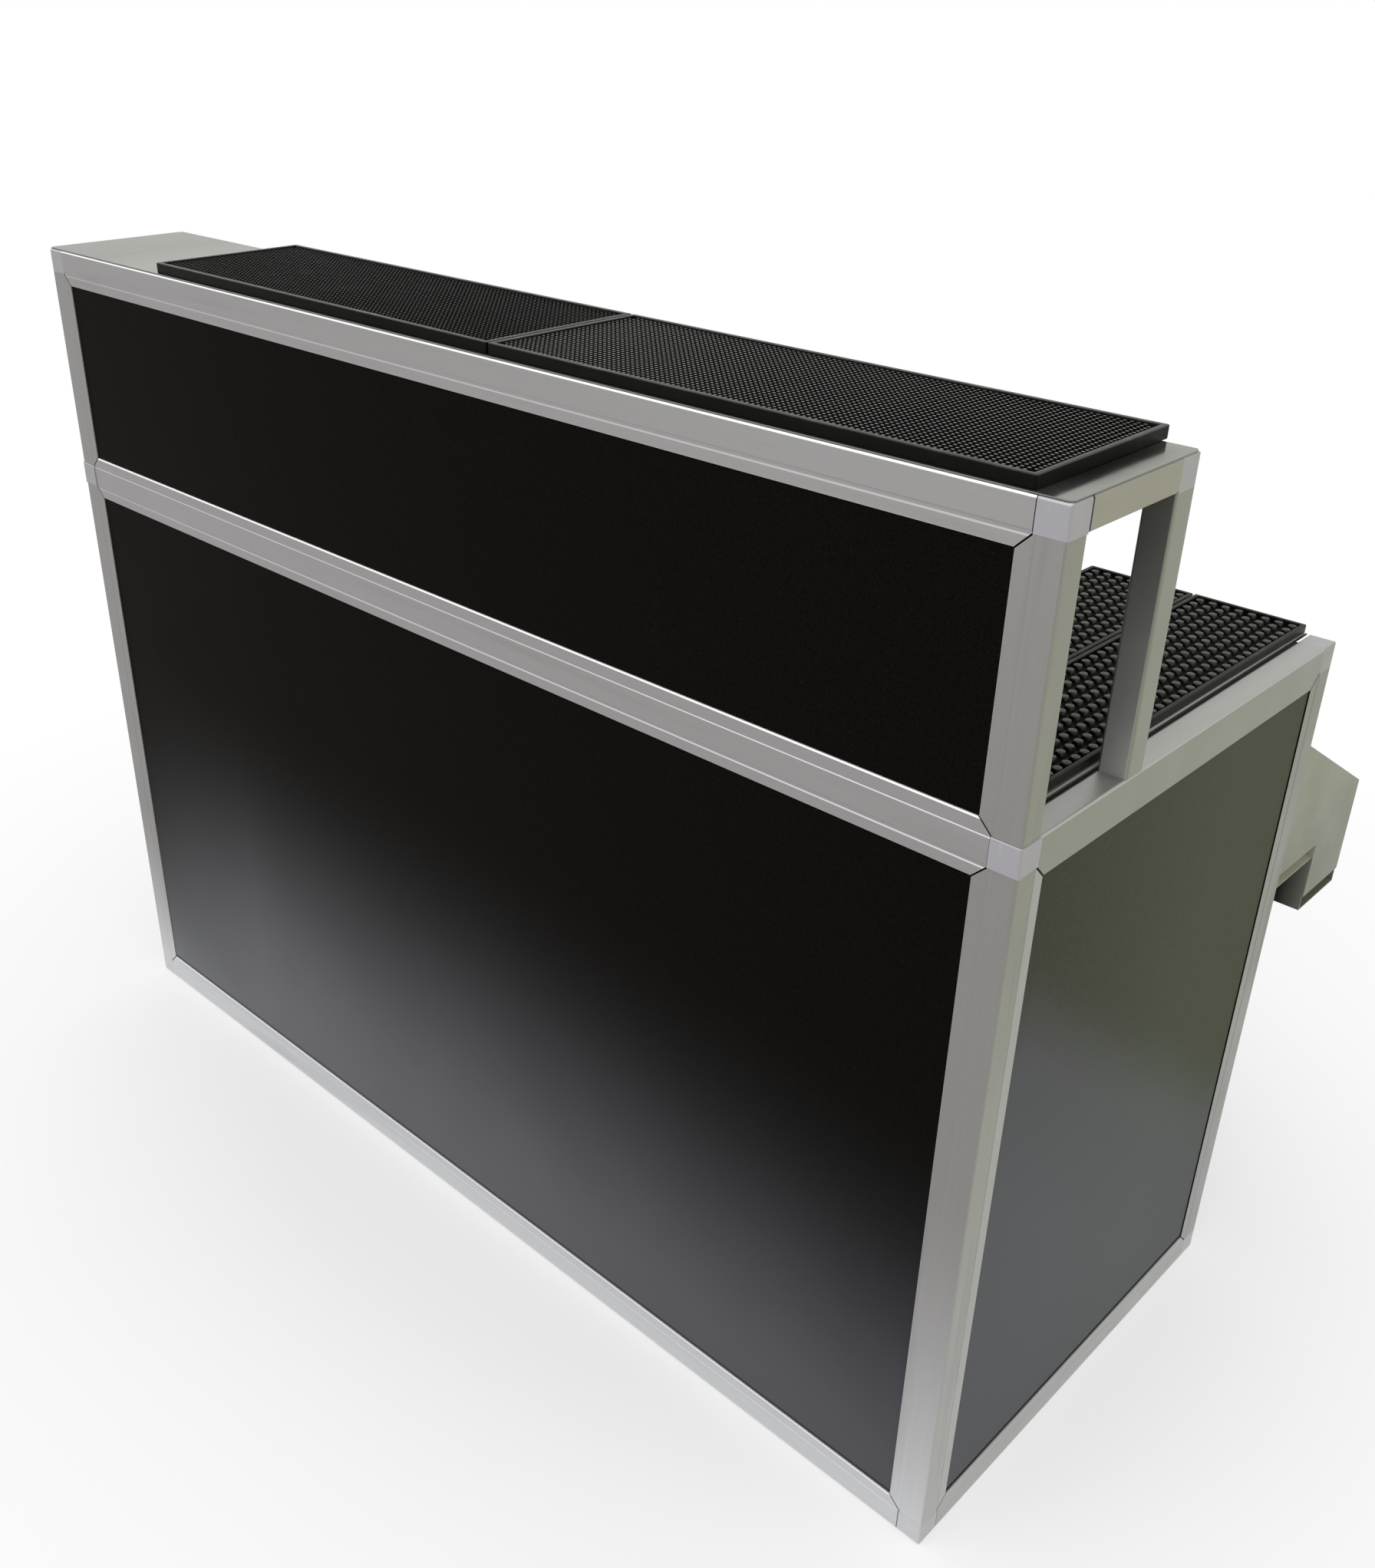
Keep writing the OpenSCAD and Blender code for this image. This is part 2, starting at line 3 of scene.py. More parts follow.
import math

import bmesh
import bpy
from mathutils import Matrix, Vector


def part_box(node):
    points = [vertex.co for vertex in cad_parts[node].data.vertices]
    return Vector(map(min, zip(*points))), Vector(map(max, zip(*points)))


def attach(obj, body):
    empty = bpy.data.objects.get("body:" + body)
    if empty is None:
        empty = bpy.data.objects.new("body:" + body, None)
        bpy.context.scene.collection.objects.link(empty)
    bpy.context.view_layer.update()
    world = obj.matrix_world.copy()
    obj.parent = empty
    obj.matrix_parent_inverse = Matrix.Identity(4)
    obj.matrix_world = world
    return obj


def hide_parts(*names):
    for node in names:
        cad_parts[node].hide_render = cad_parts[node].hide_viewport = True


MM = 0.001
X, Y, Z = range(3)

RAILS_X = ["top_rail", "worktop_rear_rail", "worktop_front_beam", "shelf_rear_rail"]
PANEL_RAILS = ["middle_rail", "bottom_rail"]
RAILS_Y = [
    "side_top_rail_left", "side_top_rail_right", "side_bottom_rail_left",
    "side_bottom_rail_right", "worktop_bearers",
]
SHELF_RAILS = ["shelf_rail_left", "shelf_rail_right"]
POSTS = [
    "lower_post_left", "lower_post_right", "upper_post_left", "upper_post_right",
    "hinge_stile_left", "hinge_stile_right",
]
REAR_POSTS = ["rear_post_left", "rear_post_right"]
LEGS = ["shelf_leg_left", "shelf_leg_right"]
LEDGES = ["front_ledge", "side_ledge_left", "side_ledge_right"]
CORNERS = [
    "top_corner_left", "top_corner_right", "middle_corner_left", "middle_corner_right",
    "bottom_corner_left", "bottom_corner_right", "rear_top_corner_left",
    "rear_top_corner_right", "rear_bottom_corner_left", "rear_bottom_corner_right",
    "shelf_corner_left", "shelf_corner_right",
]
FRONT_PANELS = ["upper_panel", "lower_panel"]
SIDE_PANELS = ["side_panel_left", "side_panel_right"]
RACK = ["rack_inner_tray", "rack_outer_tray", "rack_end_left", "rack_end_right"]
HARDWARE = [
    "hinge_fixed_leaves", "hinge_pins", "front_screws", "hinge_swing_leaves_left",
    "hinge_swing_leaves_right", "side_screws_left", "side_screws_right", "rack_hooks",
]

# Which of a mat's three rubbers a face takes: lit and shaded copies of one rubber, as painted
# light and shade
CROWN, DULL, RIM = range(3)
SHELF_MAT = {
    "columns": 97, "rows": 31, "edge": 10.7 * MM, "foot": 2.1 * MM, "crown": 1.65 * MM,
    "sides": 8, "rim": 6.0 * MM, "floor_up": 8.0 * MM, "drop": 1.0 * MM, "corner": 2.5 * MM,
    "turn": 0.0, "bare_corners": True, "bands": [(1.0, None)], "wall": DULL,
}
# Each band of a nub's side ends at a share of its height and takes the crown's rubber, as
# painted light, on an arc in degrees
WORKTOP_MAT = {
    "columns": 8, "rows": 37, "edge": 11.2 * MM, "foot": 5.9 * MM, "crown": 4.6 * MM,
    "sides": 24, "rim": 5.0 * MM, "floor_up": 3.0 * MM, "drop": 1.0 * MM, "corner": 2.5 * MM,
    "turn": math.radians(-0.45), "bare_corners": False,
    "bands": [(0.15, None), (0.4, (-45, 100)), (0.7, (-65, 110)), (1.0, (-88, 120))],
    "wall": RIM,
}
ALL_ROUND = (-180, 180)
RIM_SOFT = 0.6 * MM
MERGE = 0.02 * MM
SMOOTH_BELOW = math.radians(38)

# Half the bar's length that the gradients along it run over, and the width of a rail's fin
HALF_LENGTH = 0.75
FIN = 14.0 * MM
# A noise lies mostly between these two values
NOISE_LOW, NOISE_HIGH = 0.3, 0.7
# Each fade below is the value at which a share is 0 and then the value at which it is 1.
# How far a normal leans where a face looks up, and where a tube's or a leg's side begins
FACES_UP = (0.75, 0.97)
TUBE_SIDE = (0.3, 0.95)
LEG_SIDE = (0.06, 0.45)
POST_SIDE = (0.3, 0.7)
RACK_SIDE = (0.5, 0.9)
# Heights over which a painted glow of light from the floor grows
GLOW_POWER = 1.5
TUBE_SIDE_GLOW = (0.9, 0.05)
CORNER_FRONT_GLOW = (0.52, 0.02)
CORNER_SIDE_GLOW = (0.5, 0.02)
# Depth over which the corner pieces' sides take a painted green reflection, height above which
# side rails take a painted highlight
CORNER_GREEN = (-0.40, 0.16)
SHINING_RAILS = (0.4, 0.6)
# The panels' painted sheen, a reflection of the pale floor: on the front between two heights and
# from the left end inwards. On the sides its top falls over a depth, from the first height to
# the second
FRONT_SHEEN = (0.66, 0.06)
FRONT_SHEEN_THIN = (0.61, 0.05)
FRONT_SHEEN_INNER = (-0.74, -0.46)
SIDE_DEPTH = (-0.35, 0.14)
SIDE_SHEEN_TOP = (0.68, 0.30)
SIDE_REAR = (-0.35, 0.0)
# The dark strip beside the shelf's right mat, a painted reflection of it: its four sides
STRIP_RIGHT = (0.779, 0.754)
STRIP_LEFT = (0.742, 0.744)
STRIP_FRONT = (-0.405, -0.350)
STRIP_REAR = (-0.225, -0.265)
# The shelf's greyer left end, its height, and the sheets' front edge with its painted shade,
# deeper at the ends
GREY_END = (-0.56, -0.66)
SHELF_LEVEL = (1.0, 1.1)
SHEET_FRONT = (-0.384, -0.388)
SHADED_ENDS = (0.738, 0.744)
# The rack: its darker foot, then the inner tray's wall in painted shade and the trays' floors in
# painted light by the slots
RACK_FOOT = (0.76, 0.49)
WALL_LEVEL = (0.567, 0.565)
WALL_END = (0.748, 0.779)
FLOOR_LEVEL = (0.580, 0.575)
FLOOR_END = (0.70, 0.74)
INNER_FLOOR = (0.53, 0.55)

FLOOR_HALF = 9.0
FLOOR_Z = -0.6 * MM
WORLD_LIGHT = 0.72
# Each lamp's name, place, target, width and height, and power
LAMPS = [
    ("top_light", (-0.4, -0.6, 3.6), (0.0, 0.0, 0.8), (3.0, 3.0), 42.0),
    ("right_light", (3.4, 0.2, 1.6), (0.4, 0.0, 0.3), (2.2, 2.4), 22.0),
    ("front_light", (-0.8, -3.8, 1.5), (0.0, -0.3, 0.2), (2.8, 2.2), 26.0),
]
# The camera as fitted to the photo: yaw, pitch and roll in degrees, then its place
CAMERA_TURN = (-43.987, -28.133, 0.638)
CAMERA_PLACE = (1.3140, -1.4361, 1.5280)
CAMERA_LENS = 35.40
CAMERA_SENSOR = 36.0
CAMERA_SHIFT = (0.0339, 0.0025)


def srgb(r, g, b):
    """A colour from 0 to 255 as the linear colour that a shader takes."""
    def channel(v):
        v /= 255
        return v / 12.92 if v <= 0.04045 else ((v + 0.055) / 1.055) ** 2.4
    return (channel(r), channel(g), channel(b), 1.0)


# Pale tone of painted highlights on the rails' rounded edges, grooves and crests
HIGHLIGHT_WHITE = srgb(252, 252, 252)
# Dark tone of painted shade in seams, gaps and the recess beside the side panel
PAINTED_SHADE = srgb(28, 28, 26)
# Lit and shaded copies of one anodised tone: sides darker and green-grey as painted shade and a
# painted green reflection, tops paler as painted light, and sides paler near the floor as a
# painted glow
FRONT_TONE = srgb(145, 142, 142)
SHADED_SIDE_TONE = srgb(129, 130, 113)
LIT_TOP_TONE = srgb(163, 164, 158)
POST_TONE = srgb(134, 131, 129)
SIDE_GLOW = srgb(172, 173, 170)
# A front's painted glow of light from the floor starts at one height at the left end and at
# another at the right end, is full at the third height, and has the last value's colour. The
# legs' glow is painted light from the worktop
FLOOR_GLOW = (0.33, 0.5, 0.02, srgb(207, 208, 210))
SHELF_GLOW = (1.15, 1.15, 0.88, srgb(232, 233, 230))
# Each rubber's gloss, dark, pale and glint tone, and roughness. The glint tone is a painted
# sheen in patches that are also smoother
RUBBERS = {
    "dull": (0.04, srgb(7, 8, 6), srgb(12, 13, 11), srgb(18, 19, 16), 0.40),
    "rim": (0.10, srgb(14, 15, 13), srgb(21, 22, 20), srgb(66, 67, 62), 0.28),
    "new": (0.03, srgb(12, 13, 11), srgb(19, 20, 17), srgb(30, 31, 28), 0.22),
    "glint": (0.42, srgb(14, 14, 12), srgb(22, 22, 20), srgb(46, 46, 42), 0.14),
    "soft": (0.3, srgb(22, 24, 20), srgb(31, 33, 28), srgb(44, 46, 40), 0.36),
    "side": (0.1, srgb(22, 24, 20), srgb(30, 32, 27), srgb(44, 46, 40), 0.40),
}
# Each mat's measures and its rubbers: crown, dull and rim
MATS = {
    # The left shelf mat's crowns take a darker, duller copy of the right one's rubber, as
    # painted shade
    "shelf_mat_left": (SHELF_MAT, ("new", "dull", "rim")),
    "shelf_mat_right": (SHELF_MAT, ("glint", "dull", "rim")),
    "worktop_mat_left": (WORKTOP_MAT, ("soft", "dull", "side")),
    "worktop_mat_right": (WORKTOP_MAT, ("soft", "dull", "side")),
}


class Graph:
    """One material's nodes. Its colour is laid on in coats and linked when it is made."""

    def __init__(self, name, **settings):
        self.material = bpy.data.materials.new(name)
        self.material.use_nodes = True
        self.tree = self.material.node_tree
        self.shader = self.tree.nodes["Principled BSDF"]
        self.colour = None
        for socket, value in settings.items():
            self.shader.inputs[socket.replace("_", " ")].default_value = value
        self.place = self.add("ShaderNodeTexCoord")

    def add(self, kind, **attributes):
        node = self.tree.nodes.new(kind)
        for key, value in attributes.items():
            setattr(node, key, value)
        return node

    def put(self, value, socket):
        """Links an output to a socket, or sets a plain number or colour on it."""
        if isinstance(value, bpy.types.NodeSocket):
            self.tree.links.new(value, socket)
        else:
            socket.default_value = value

    def put_all(self, values, sockets):
        for value, socket in zip(values, sockets):
            self.put(value, socket)

    def part(self, vector, axis):
        node = self.add("ShaderNodeSeparateXYZ")
        self.put(vector, node.inputs[0])
        return node.outputs[axis]

    def at(self, axis):
        """One coordinate of the place on the bar."""
        return self.part(self.place.outputs["Object"], axis)

    def facing(self, axis):
        """One coordinate of the surface's normal."""
        return self.part(self.place.outputs["Normal"], axis)

    def outward(self):
        """The distance from the bar's middle plane."""
        return self.math("ABSOLUTE", self.at(X))

    def sideways(self):
        """How far the surface faces to the left or to the right."""
        return self.math("ABSOLUTE", self.facing(X))

    def rightwards(self, at_left=0.0, at_right=1.0):
        """A value that runs along the bar from its left end to its right end."""
        return self.ranged(self.at(X), -HALF_LENGTH, HALF_LENGTH, at_left, at_right)

    def noise(self, scale, detail=2.0, roughness=0.5):
        """A noise with one scale, or with one for each axis."""
        mapping = self.add("ShaderNodeMapping")
        self.put(self.place.outputs["Object"], mapping.inputs["Vector"])
        self.put((scale,) * 3 if isinstance(scale, float) else scale, mapping.inputs["Scale"])
        node = self.add("ShaderNodeTexNoise")
        self.put(mapping.outputs["Vector"], node.inputs["Vector"])
        self.put(1.0, node.inputs["Scale"])
        self.put(detail, node.inputs["Detail"])
        self.put(roughness, node.inputs["Roughness"])
        return node.outputs["Fac"]

    def drawn(self, axis, across, along, detail=2.0, roughness=0.5):
        """A noise that is drawn out along one axis."""
        scale = [across] * 3
        scale[axis] = along
        return self.noise(scale, detail, roughness)

    def ranged(self, value, low, high, to_low=0.0, to_high=1.0):
        """How far a value is from one number to another, or the same between two others."""
        node = self.add("ShaderNodeMapRange")
        self.put_all((value, low, high, to_low, to_high), node.inputs)
        return node.outputs["Result"]

    def smooth(self, value, low, high):
        """The same as a smooth step."""
        node = self.add("ShaderNodeMapRange", interpolation_type="SMOOTHSTEP")
        self.put_all((value, low, high), node.inputs)
        return node.outputs["Result"]

    def patchy(self, noise, low=0.0, high=1.0):
        """A value that wavers between two others with a noise."""
        return self.ranged(noise, NOISE_LOW, NOISE_HIGH, low, high)

    def math(self, operation, *values):
        node = self.add("ShaderNodeMath", operation=operation)
        self.put_all(values, node.inputs)
        return node.outputs["Value"]

    def product(self, value, *others):
        for other in others:
            value = self.math("MULTIPLY", value, other)
        return value

    def mixed(self, share, a, b):
        node = self.add("ShaderNodeMix", data_type="RGBA", blend_type="MIX")
        self.put(share, node.inputs[0])
        self.put_all((a, b), node.inputs[6:8])
        return node.outputs[2]

    def line(self, value, at, half):
        """1 on a line at one value of a coordinate and 0 beyond half a width from it."""
        away = self.math("ABSOLUTE", self.math("SUBTRACT", value, at))
        return self.ranged(away, half, 0.6 * half)

    def edges(self, radius):
        """1 along the edges of the shape and 0 on its faces."""
        bevel = self.add("ShaderNodeBevel", samples=6)
        self.put(radius, bevel.inputs["Radius"])
        true = self.add("ShaderNodeNewGeometry")
        turn = self.add("ShaderNodeVectorMath", operation="DOT_PRODUCT")
        self.put(bevel.outputs["Normal"], turn.inputs[0])
        self.put(true.outputs["Normal"], turn.inputs[1])
        return self.ranged(turn.outputs["Value"], 0.995, 0.93)

    def coat(self, share, colour):
        """Lays a colour over what is there already, as far as the share says."""
        self.colour = self.mixed(share, self.colour, colour)

    def fleck(self, noise, most, colour, low=NOISE_LOW, high=NOISE_HIGH):
        """Lays a colour over in the pattern of a noise."""
        self.coat(self.ranged(noise, low, high, 0.0, most), colour)

    def wear_and_highlight(self, radius, share, colour):
        """Lays a colour over along the edges: wear, and a painted highlight where light catches
        them.
        """
        self.coat(self.product(self.edges(radius), share), colour)

    def bump(self, height, distance, strength):
        node = self.add("ShaderNodeBump")
        self.put(height, node.inputs["Height"])
        self.put(distance, node.inputs["Distance"])
        self.put(strength, node.inputs["Strength"])
        self.put(node.outputs["Normal"], self.shader.inputs["Normal"])

    def made(self):
        """The material, with its colour linked."""
        self.put(self.colour, self.shader.inputs["Base Color"])
        return self.material

    def roughen(self, value):
        self.put(value, self.shader.inputs["Roughness"])


def floor_glow(g, high, low):
    """How near the floor a point is, from 0 at one height to 1 at another: the share of a
    painted glow of light from below.
    """
    return g.math("POWER", g.ranged(g.at(Z), high, low), GLOW_POWER)


def upper_face(g):
    """1 on faces that look up."""
    return g.ranged(g.facing(Z), *FACES_UP)


def rounding(g, axis=Y):
    """1 along a rail's rounded upper edges, where the light catches them, for a painted
    highlight.
    """
    rise = g.facing(Z)
    across = g.math("ABSOLUTE", g.facing(axis))
    caught = g.ranged(g.product(across, rise), 0.17, 0.38)
    return g.product(caught, g.ranged(rise, 0.92, 0.78))


def tube_tones(g, front, side, glow, side_glow, turn):
    """A tube's tones by the way that its faces look, as painted light and shade, and a painted
    glow paler towards the floor.
    """
    at_left, at_right, full, glow_tone = glow
    front = g.mixed(floor_glow(g, g.rightwards(at_left, at_right), full), front, glow_tone)
    side = g.mixed(floor_glow(g, *TUBE_SIDE_GLOW), side, side_glow)
    g.colour = g.mixed(g.ranged(g.sideways(), *turn), front, side)
    g.coat(upper_face(g), LIT_TOP_TONE)


def anodised(name, axis, front=FRONT_TONE, side=SHADED_SIDE_TONE, wear_and_highlight=0.1, glow=FLOOR_GLOW,
             side_glow=SIDE_GLOW, turn=TUBE_SIDE):
    """Drawn, anodised tube: fine lines along the tube, faint smears, and worn edges with a
    painted highlight. Its faces take painted light and shade.
    """
    g = Graph(name, Metallic=0.65)
    lines = g.drawn(axis, 2600.0, 14.0, 3.0, 0.65)
    bands = g.drawn(axis, 300.0, 3.0)
    smears = g.ranged(g.drawn(axis, 34.0, 2.4, 3.0, 0.6), 0.56, 0.78)
    tube_tones(g, front, side, glow, side_glow, turn)
    g.fleck(lines, 0.05, srgb(214, 214, 214))
    g.fleck(bands, 0.04, srgb(96, 96, 94), 0.35, 0.65)
    g.fleck(g.noise(700.0), 0.06, srgb(110, 110, 108))
    g.coat(g.product(smears, 0.14), srgb(92, 92, 84))
    g.wear_and_highlight(0.7 * MM, wear_and_highlight, srgb(228, 228, 227))
    g.roughen(g.math("ADD", g.patchy(g.noise(12.0, 3.0), 0.36, 0.44), g.product(smears, 0.12)))
    g.bump(g.math("ADD", lines, g.product(bands, 0.3)), 0.02 * MM, 0.25)
    return g


def long_rail(name, rounded, groove=None, lit=0.0, crest=None):
    """Tube along the bar, with painted shade in the seam at its right end.

    Its rounded edge, the groove over its lower fin and the crest of its upper fin carry painted
    highlights.
    """
    g = anodised(name, X, wear_and_highlight=0.3)
    g.coat(g.product(rounding(g), rounded), HIGHLIGHT_WHITE)
    if groove:
        share = g.product(g.line(g.at(Z), groove - 2.2 * MM, 1.1 * MM), g.rightwards(0.15, lit))
        g.coat(share, HIGHLIGHT_WHITE)
    if crest:
        g.coat(g.ranged(g.at(Z), crest - 2.4 * MM, crest - 2.0 * MM), HIGHLIGHT_WHITE)
    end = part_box("top_rail")[1].x
    g.coat(g.ranged(g.at(X), end - 1.0 * MM, end - 0.6 * MM), PAINTED_SHADE)
    return g.made()


def cross_rail(name):
    """Tube across the bar, with a painted highlight on the upper edge of its outer side where it
    lies high.
    """
    g = anodised(name, Y, wear_and_highlight=0.08)
    g.coat(g.product(rounding(g, X), g.ranged(g.at(Z), *SHINING_RAILS, 0.0, 0.2)), HIGHLIGHT_WHITE)
    return g.made()


def post(name):
    """Upright tube with a painted shade line where the fin meets it, and a paler fin."""
    g = anodised(name, Z, POST_TONE, wear_and_highlight=0.12)
    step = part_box("upper_post_right")[1].y
    sideways = g.ranged(g.sideways(), *POST_SIDE)
    fin = g.ranged(g.at(Y), step - 0.2 * MM, step + 0.4 * MM, 0.0, 0.4)
    g.coat(g.product(fin, sideways), srgb(178, 179, 175))
    gap = g.line(g.at(Y), step - 0.4 * MM, 0.5 * MM)
    g.coat(g.product(gap, sideways, 0.55), srgb(62, 62, 54))
    return g.made()


def rear_post(name):
    """Upright tube whose edge against the side panel is in painted shade."""
    g = anodised(name, Z, POST_TONE, srgb(123, 124, 108), 0.05, side_glow=srgb(152, 153, 150))
    g.coat(g.ranged(g.facing(Y), -0.6, -0.95), PAINTED_SHADE)
    return g.made()


def shelf_tube(name):
    """Plain tube at each end of the shelf."""
    return anodised(name, Y, side=srgb(141, 138, 117), wear_and_highlight=0.08).made()


def shelf_leg(name):
    """Short leg of the shelf, with a painted glow of light from the polished worktop that it
    stands over.
    """
    g = anodised(name, Z, srgb(140, 141, 134), srgb(128, 129, 112), 0.08, SHELF_GLOW,
                 turn=LEG_SIDE)
    return g.made()


def plastic_tones(g):
    """A corner piece's tones by the way that its faces look, as painted light and shade, with a
    painted green reflection on its sides and a painted glow paler towards the floor.
    """
    side = g.mixed(g.ranged(g.at(Y), *CORNER_GREEN), srgb(149, 147, 145), srgb(139, 141, 130))
    side = g.mixed(floor_glow(g, *CORNER_SIDE_GLOW), side, srgb(176, 177, 176))
    front = g.mixed(g.rightwards(), srgb(146, 146, 146), srgb(158, 156, 161))
    front = g.mixed(floor_glow(g, *CORNER_FRONT_GLOW), front, srgb(201, 201, 204))
    g.colour = g.mixed(g.ranged(g.sideways(), *TUBE_SIDE), front, side)
    g.coat(upper_face(g), srgb(164, 165, 162))


def moulded_plastic(name):
    """Grey corner pieces with a fine spark-eroded texture and a painted highlight along their
    upper edges.
    """
    g = Graph(name, Specular_IOR_Level=0.35)
    grain = g.noise(1500.0)
    cloud = g.noise(45.0, 3.0)
    scuffs = g.ranged(g.noise((260.0, 260.0, 30.0), 3.0, 0.7), 0.62, 0.78)
    plastic_tones(g)
    g.fleck(cloud, 0.10, srgb(128, 127, 130))
    g.fleck(grain, 0.12, srgb(196, 194, 199))
    g.coat(g.product(scuffs, 0.22), srgb(200, 199, 202))
    g.wear_and_highlight(1.0 * MM, 0.3, srgb(206, 204, 209))
    g.coat(g.product(rounding(g), 0.4), srgb(240, 240, 244))
    g.roughen(g.patchy(cloud, 0.46, 0.58))
    g.bump(grain, 0.05 * MM, 0.5)
    return g.made()


def black_aluminium(name):
    """Black anodised angle under the worktop's edges. Its black also stands in as painted shade
    in the gaps beside the sheets.
    """
    g = Graph(name, Metallic=0.4, Specular_IOR_Level=0.2)
    lines = g.drawn(Y, 1800.0, 30.0, 3.0, 0.6)
    g.colour = g.mixed(g.patchy(lines), srgb(16, 16, 16), srgb(27, 27, 26))
    g.wear_and_highlight(0.6 * MM, 0.3, srgb(70, 70, 68))
    g.roughen(g.patchy(g.noise(40.0, 3.0), 0.42, 0.55))
    g.bump(lines, 0.02 * MM, 0.4)
    return g.made()


def front_sheen(g):
    """A front panel's painted sheen, a reflection of the pale floor, with its dark and pale
    tone. The sheen is thinner at the left end.
    """
    steepness = g.ranged(g.at(X), 0.1, 0.7, 1.55, 2.1)
    full = g.math("POWER", g.smooth(g.at(Z), *FRONT_SHEEN), steepness)
    thin = g.math("POWER", g.ranged(g.at(Z), *FRONT_SHEEN_THIN), 2.9)
    inner = g.ranged(g.at(X), *FRONT_SHEEN_INNER)
    outer = g.ranged(inner, 0.0, 1.0, 1.0, 0.0)
    sheen = g.math("ADD", g.product(full, inner), g.product(thin, outer))
    along = g.rightwards()
    dark = g.mixed(along, srgb(13, 10, 7), srgb(7, 6, 4))
    pale = g.mixed(g.math("POWER", along, 0.7), srgb(119, 120, 123), srgb(84, 83, 88))
    return sheen, dark, pale


def side_sheen(g):
    """A side panel's painted sheen, a reflection of the pale floor, with its dark and pale tone,
    whose green is a painted reflection too. The sheen starts higher towards the front.
    """
    top = g.ranged(g.at(Y), *SIDE_DEPTH, *SIDE_SHEEN_TOP)
    above = g.math("SUBTRACT", g.at(Z), top)
    sheen = g.math("ADD", g.product(g.smooth(above, 0.07, -0.07), 0.6),
                  g.ranged(above, 0.06, -0.26, 0.0, 0.4))
    rear = g.ranged(g.at(Y), *SIDE_REAR)
    dark = g.mixed(rear, srgb(62, 64, 52), srgb(73, 77, 61))
    pale = g.mixed(rear, srgb(89, 90, 93), srgb(95, 97, 98))
    return sheen, dark, pale


def foot_shade(g):
    """1 on a painted shade line where a panel meets the bottom rail."""
    half = 2.2 * MM
    return g.line(g.at(Z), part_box("bottom_rail")[1].z + half, half)


def front_shade(g):
    """A fainter painted shade line where a front panel meets the bottom rail."""
    return g.product(foot_shade(g), 0.6)


def side_shade(g):
    """1 on painted shade lines where a side panel meets the bottom rail and the rear post."""
    return g.math("MAXIMUM", foot_shade(g),
                  g.line(g.at(Y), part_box("rear_post_right")[0].y, 1.5 * MM))


def laminate(name, gloss, sheen_of, shade_of, mottled):
    """Satin black board with a fine grain, a painted sheen paler towards the floor and painted
    shade in its seams.
    """
    g = Graph(name, Specular_IOR_Level=gloss)
    grain = g.noise(900.0, 4.0, 0.7)
    specks = g.ranged(g.noise(420.0, 2.0, 0.8), 0.68, 0.76)
    cloud = g.noise(5.0, 3.0)
    sheen, dark, pale = sheen_of(g)
    g.colour = g.mixed(g.product(sheen, g.ranged(cloud, 0.2, 0.8, 0.92, 1.06)), dark, pale)
    g.fleck(g.noise(330.0, 3.0, 0.7), mottled, srgb(118, 119, 112), 0.35, 0.65)
    g.fleck(grain, 0.04, srgb(70, 68, 66), 0.35, 0.65)
    g.coat(g.product(specks, 0.06), srgb(150, 150, 150))
    g.wear_and_highlight(1.0 * MM, 0.15, srgb(80, 76, 72))
    g.coat(shade_of(g), srgb(16, 16, 14))
    g.roughen(g.patchy(cloud, 0.34, 0.42))
    g.bump(grain, 0.04 * MM, 0.35)
    return g.made()


def sheet_shades(g, upward):
    """The painted reflection of the shelf's right mat, a dark strip beside it, and the shelf's
    greyer left end.
    """
    along = g.product(g.ranged(g.outward(), *STRIP_RIGHT, 0.0, 0.72), upward,
                      g.ranged(g.at(X), *STRIP_LEFT))
    strip = g.product(along, g.ranged(g.at(Y), *STRIP_FRONT), g.ranged(g.at(Y), *STRIP_REAR))
    g.coat(strip, srgb(52, 52, 48))
    end = g.product(g.ranged(g.at(X), *GREY_END), upward, g.ranged(g.at(Z), *SHELF_LEVEL))
    g.coat(end, srgb(116, 117, 110))


def sheet_rims(g, shaded_below, hem):
    """Painted shade low on the front edge and beyond the hem. The result is 1 on the hem."""
    edge = g.ranged(g.at(Y), *SHEET_FRONT)
    low = g.ranged(g.at(Z), shaded_below, shaded_below - 0.4 * MM)
    g.coat(g.product(low, edge, g.ranged(g.outward(), *SHADED_ENDS, 0.3, 1.0)), PAINTED_SHADE)
    hemmed = g.ranged(g.outward(), hem, hem + 0.5 * MM)
    g.coat(hemmed, srgb(180, 180, 172))
    g.coat(g.ranged(g.outward(), hem + 3.0 * MM, hem + 3.3 * MM), PAINTED_SHADE)
    return hemmed


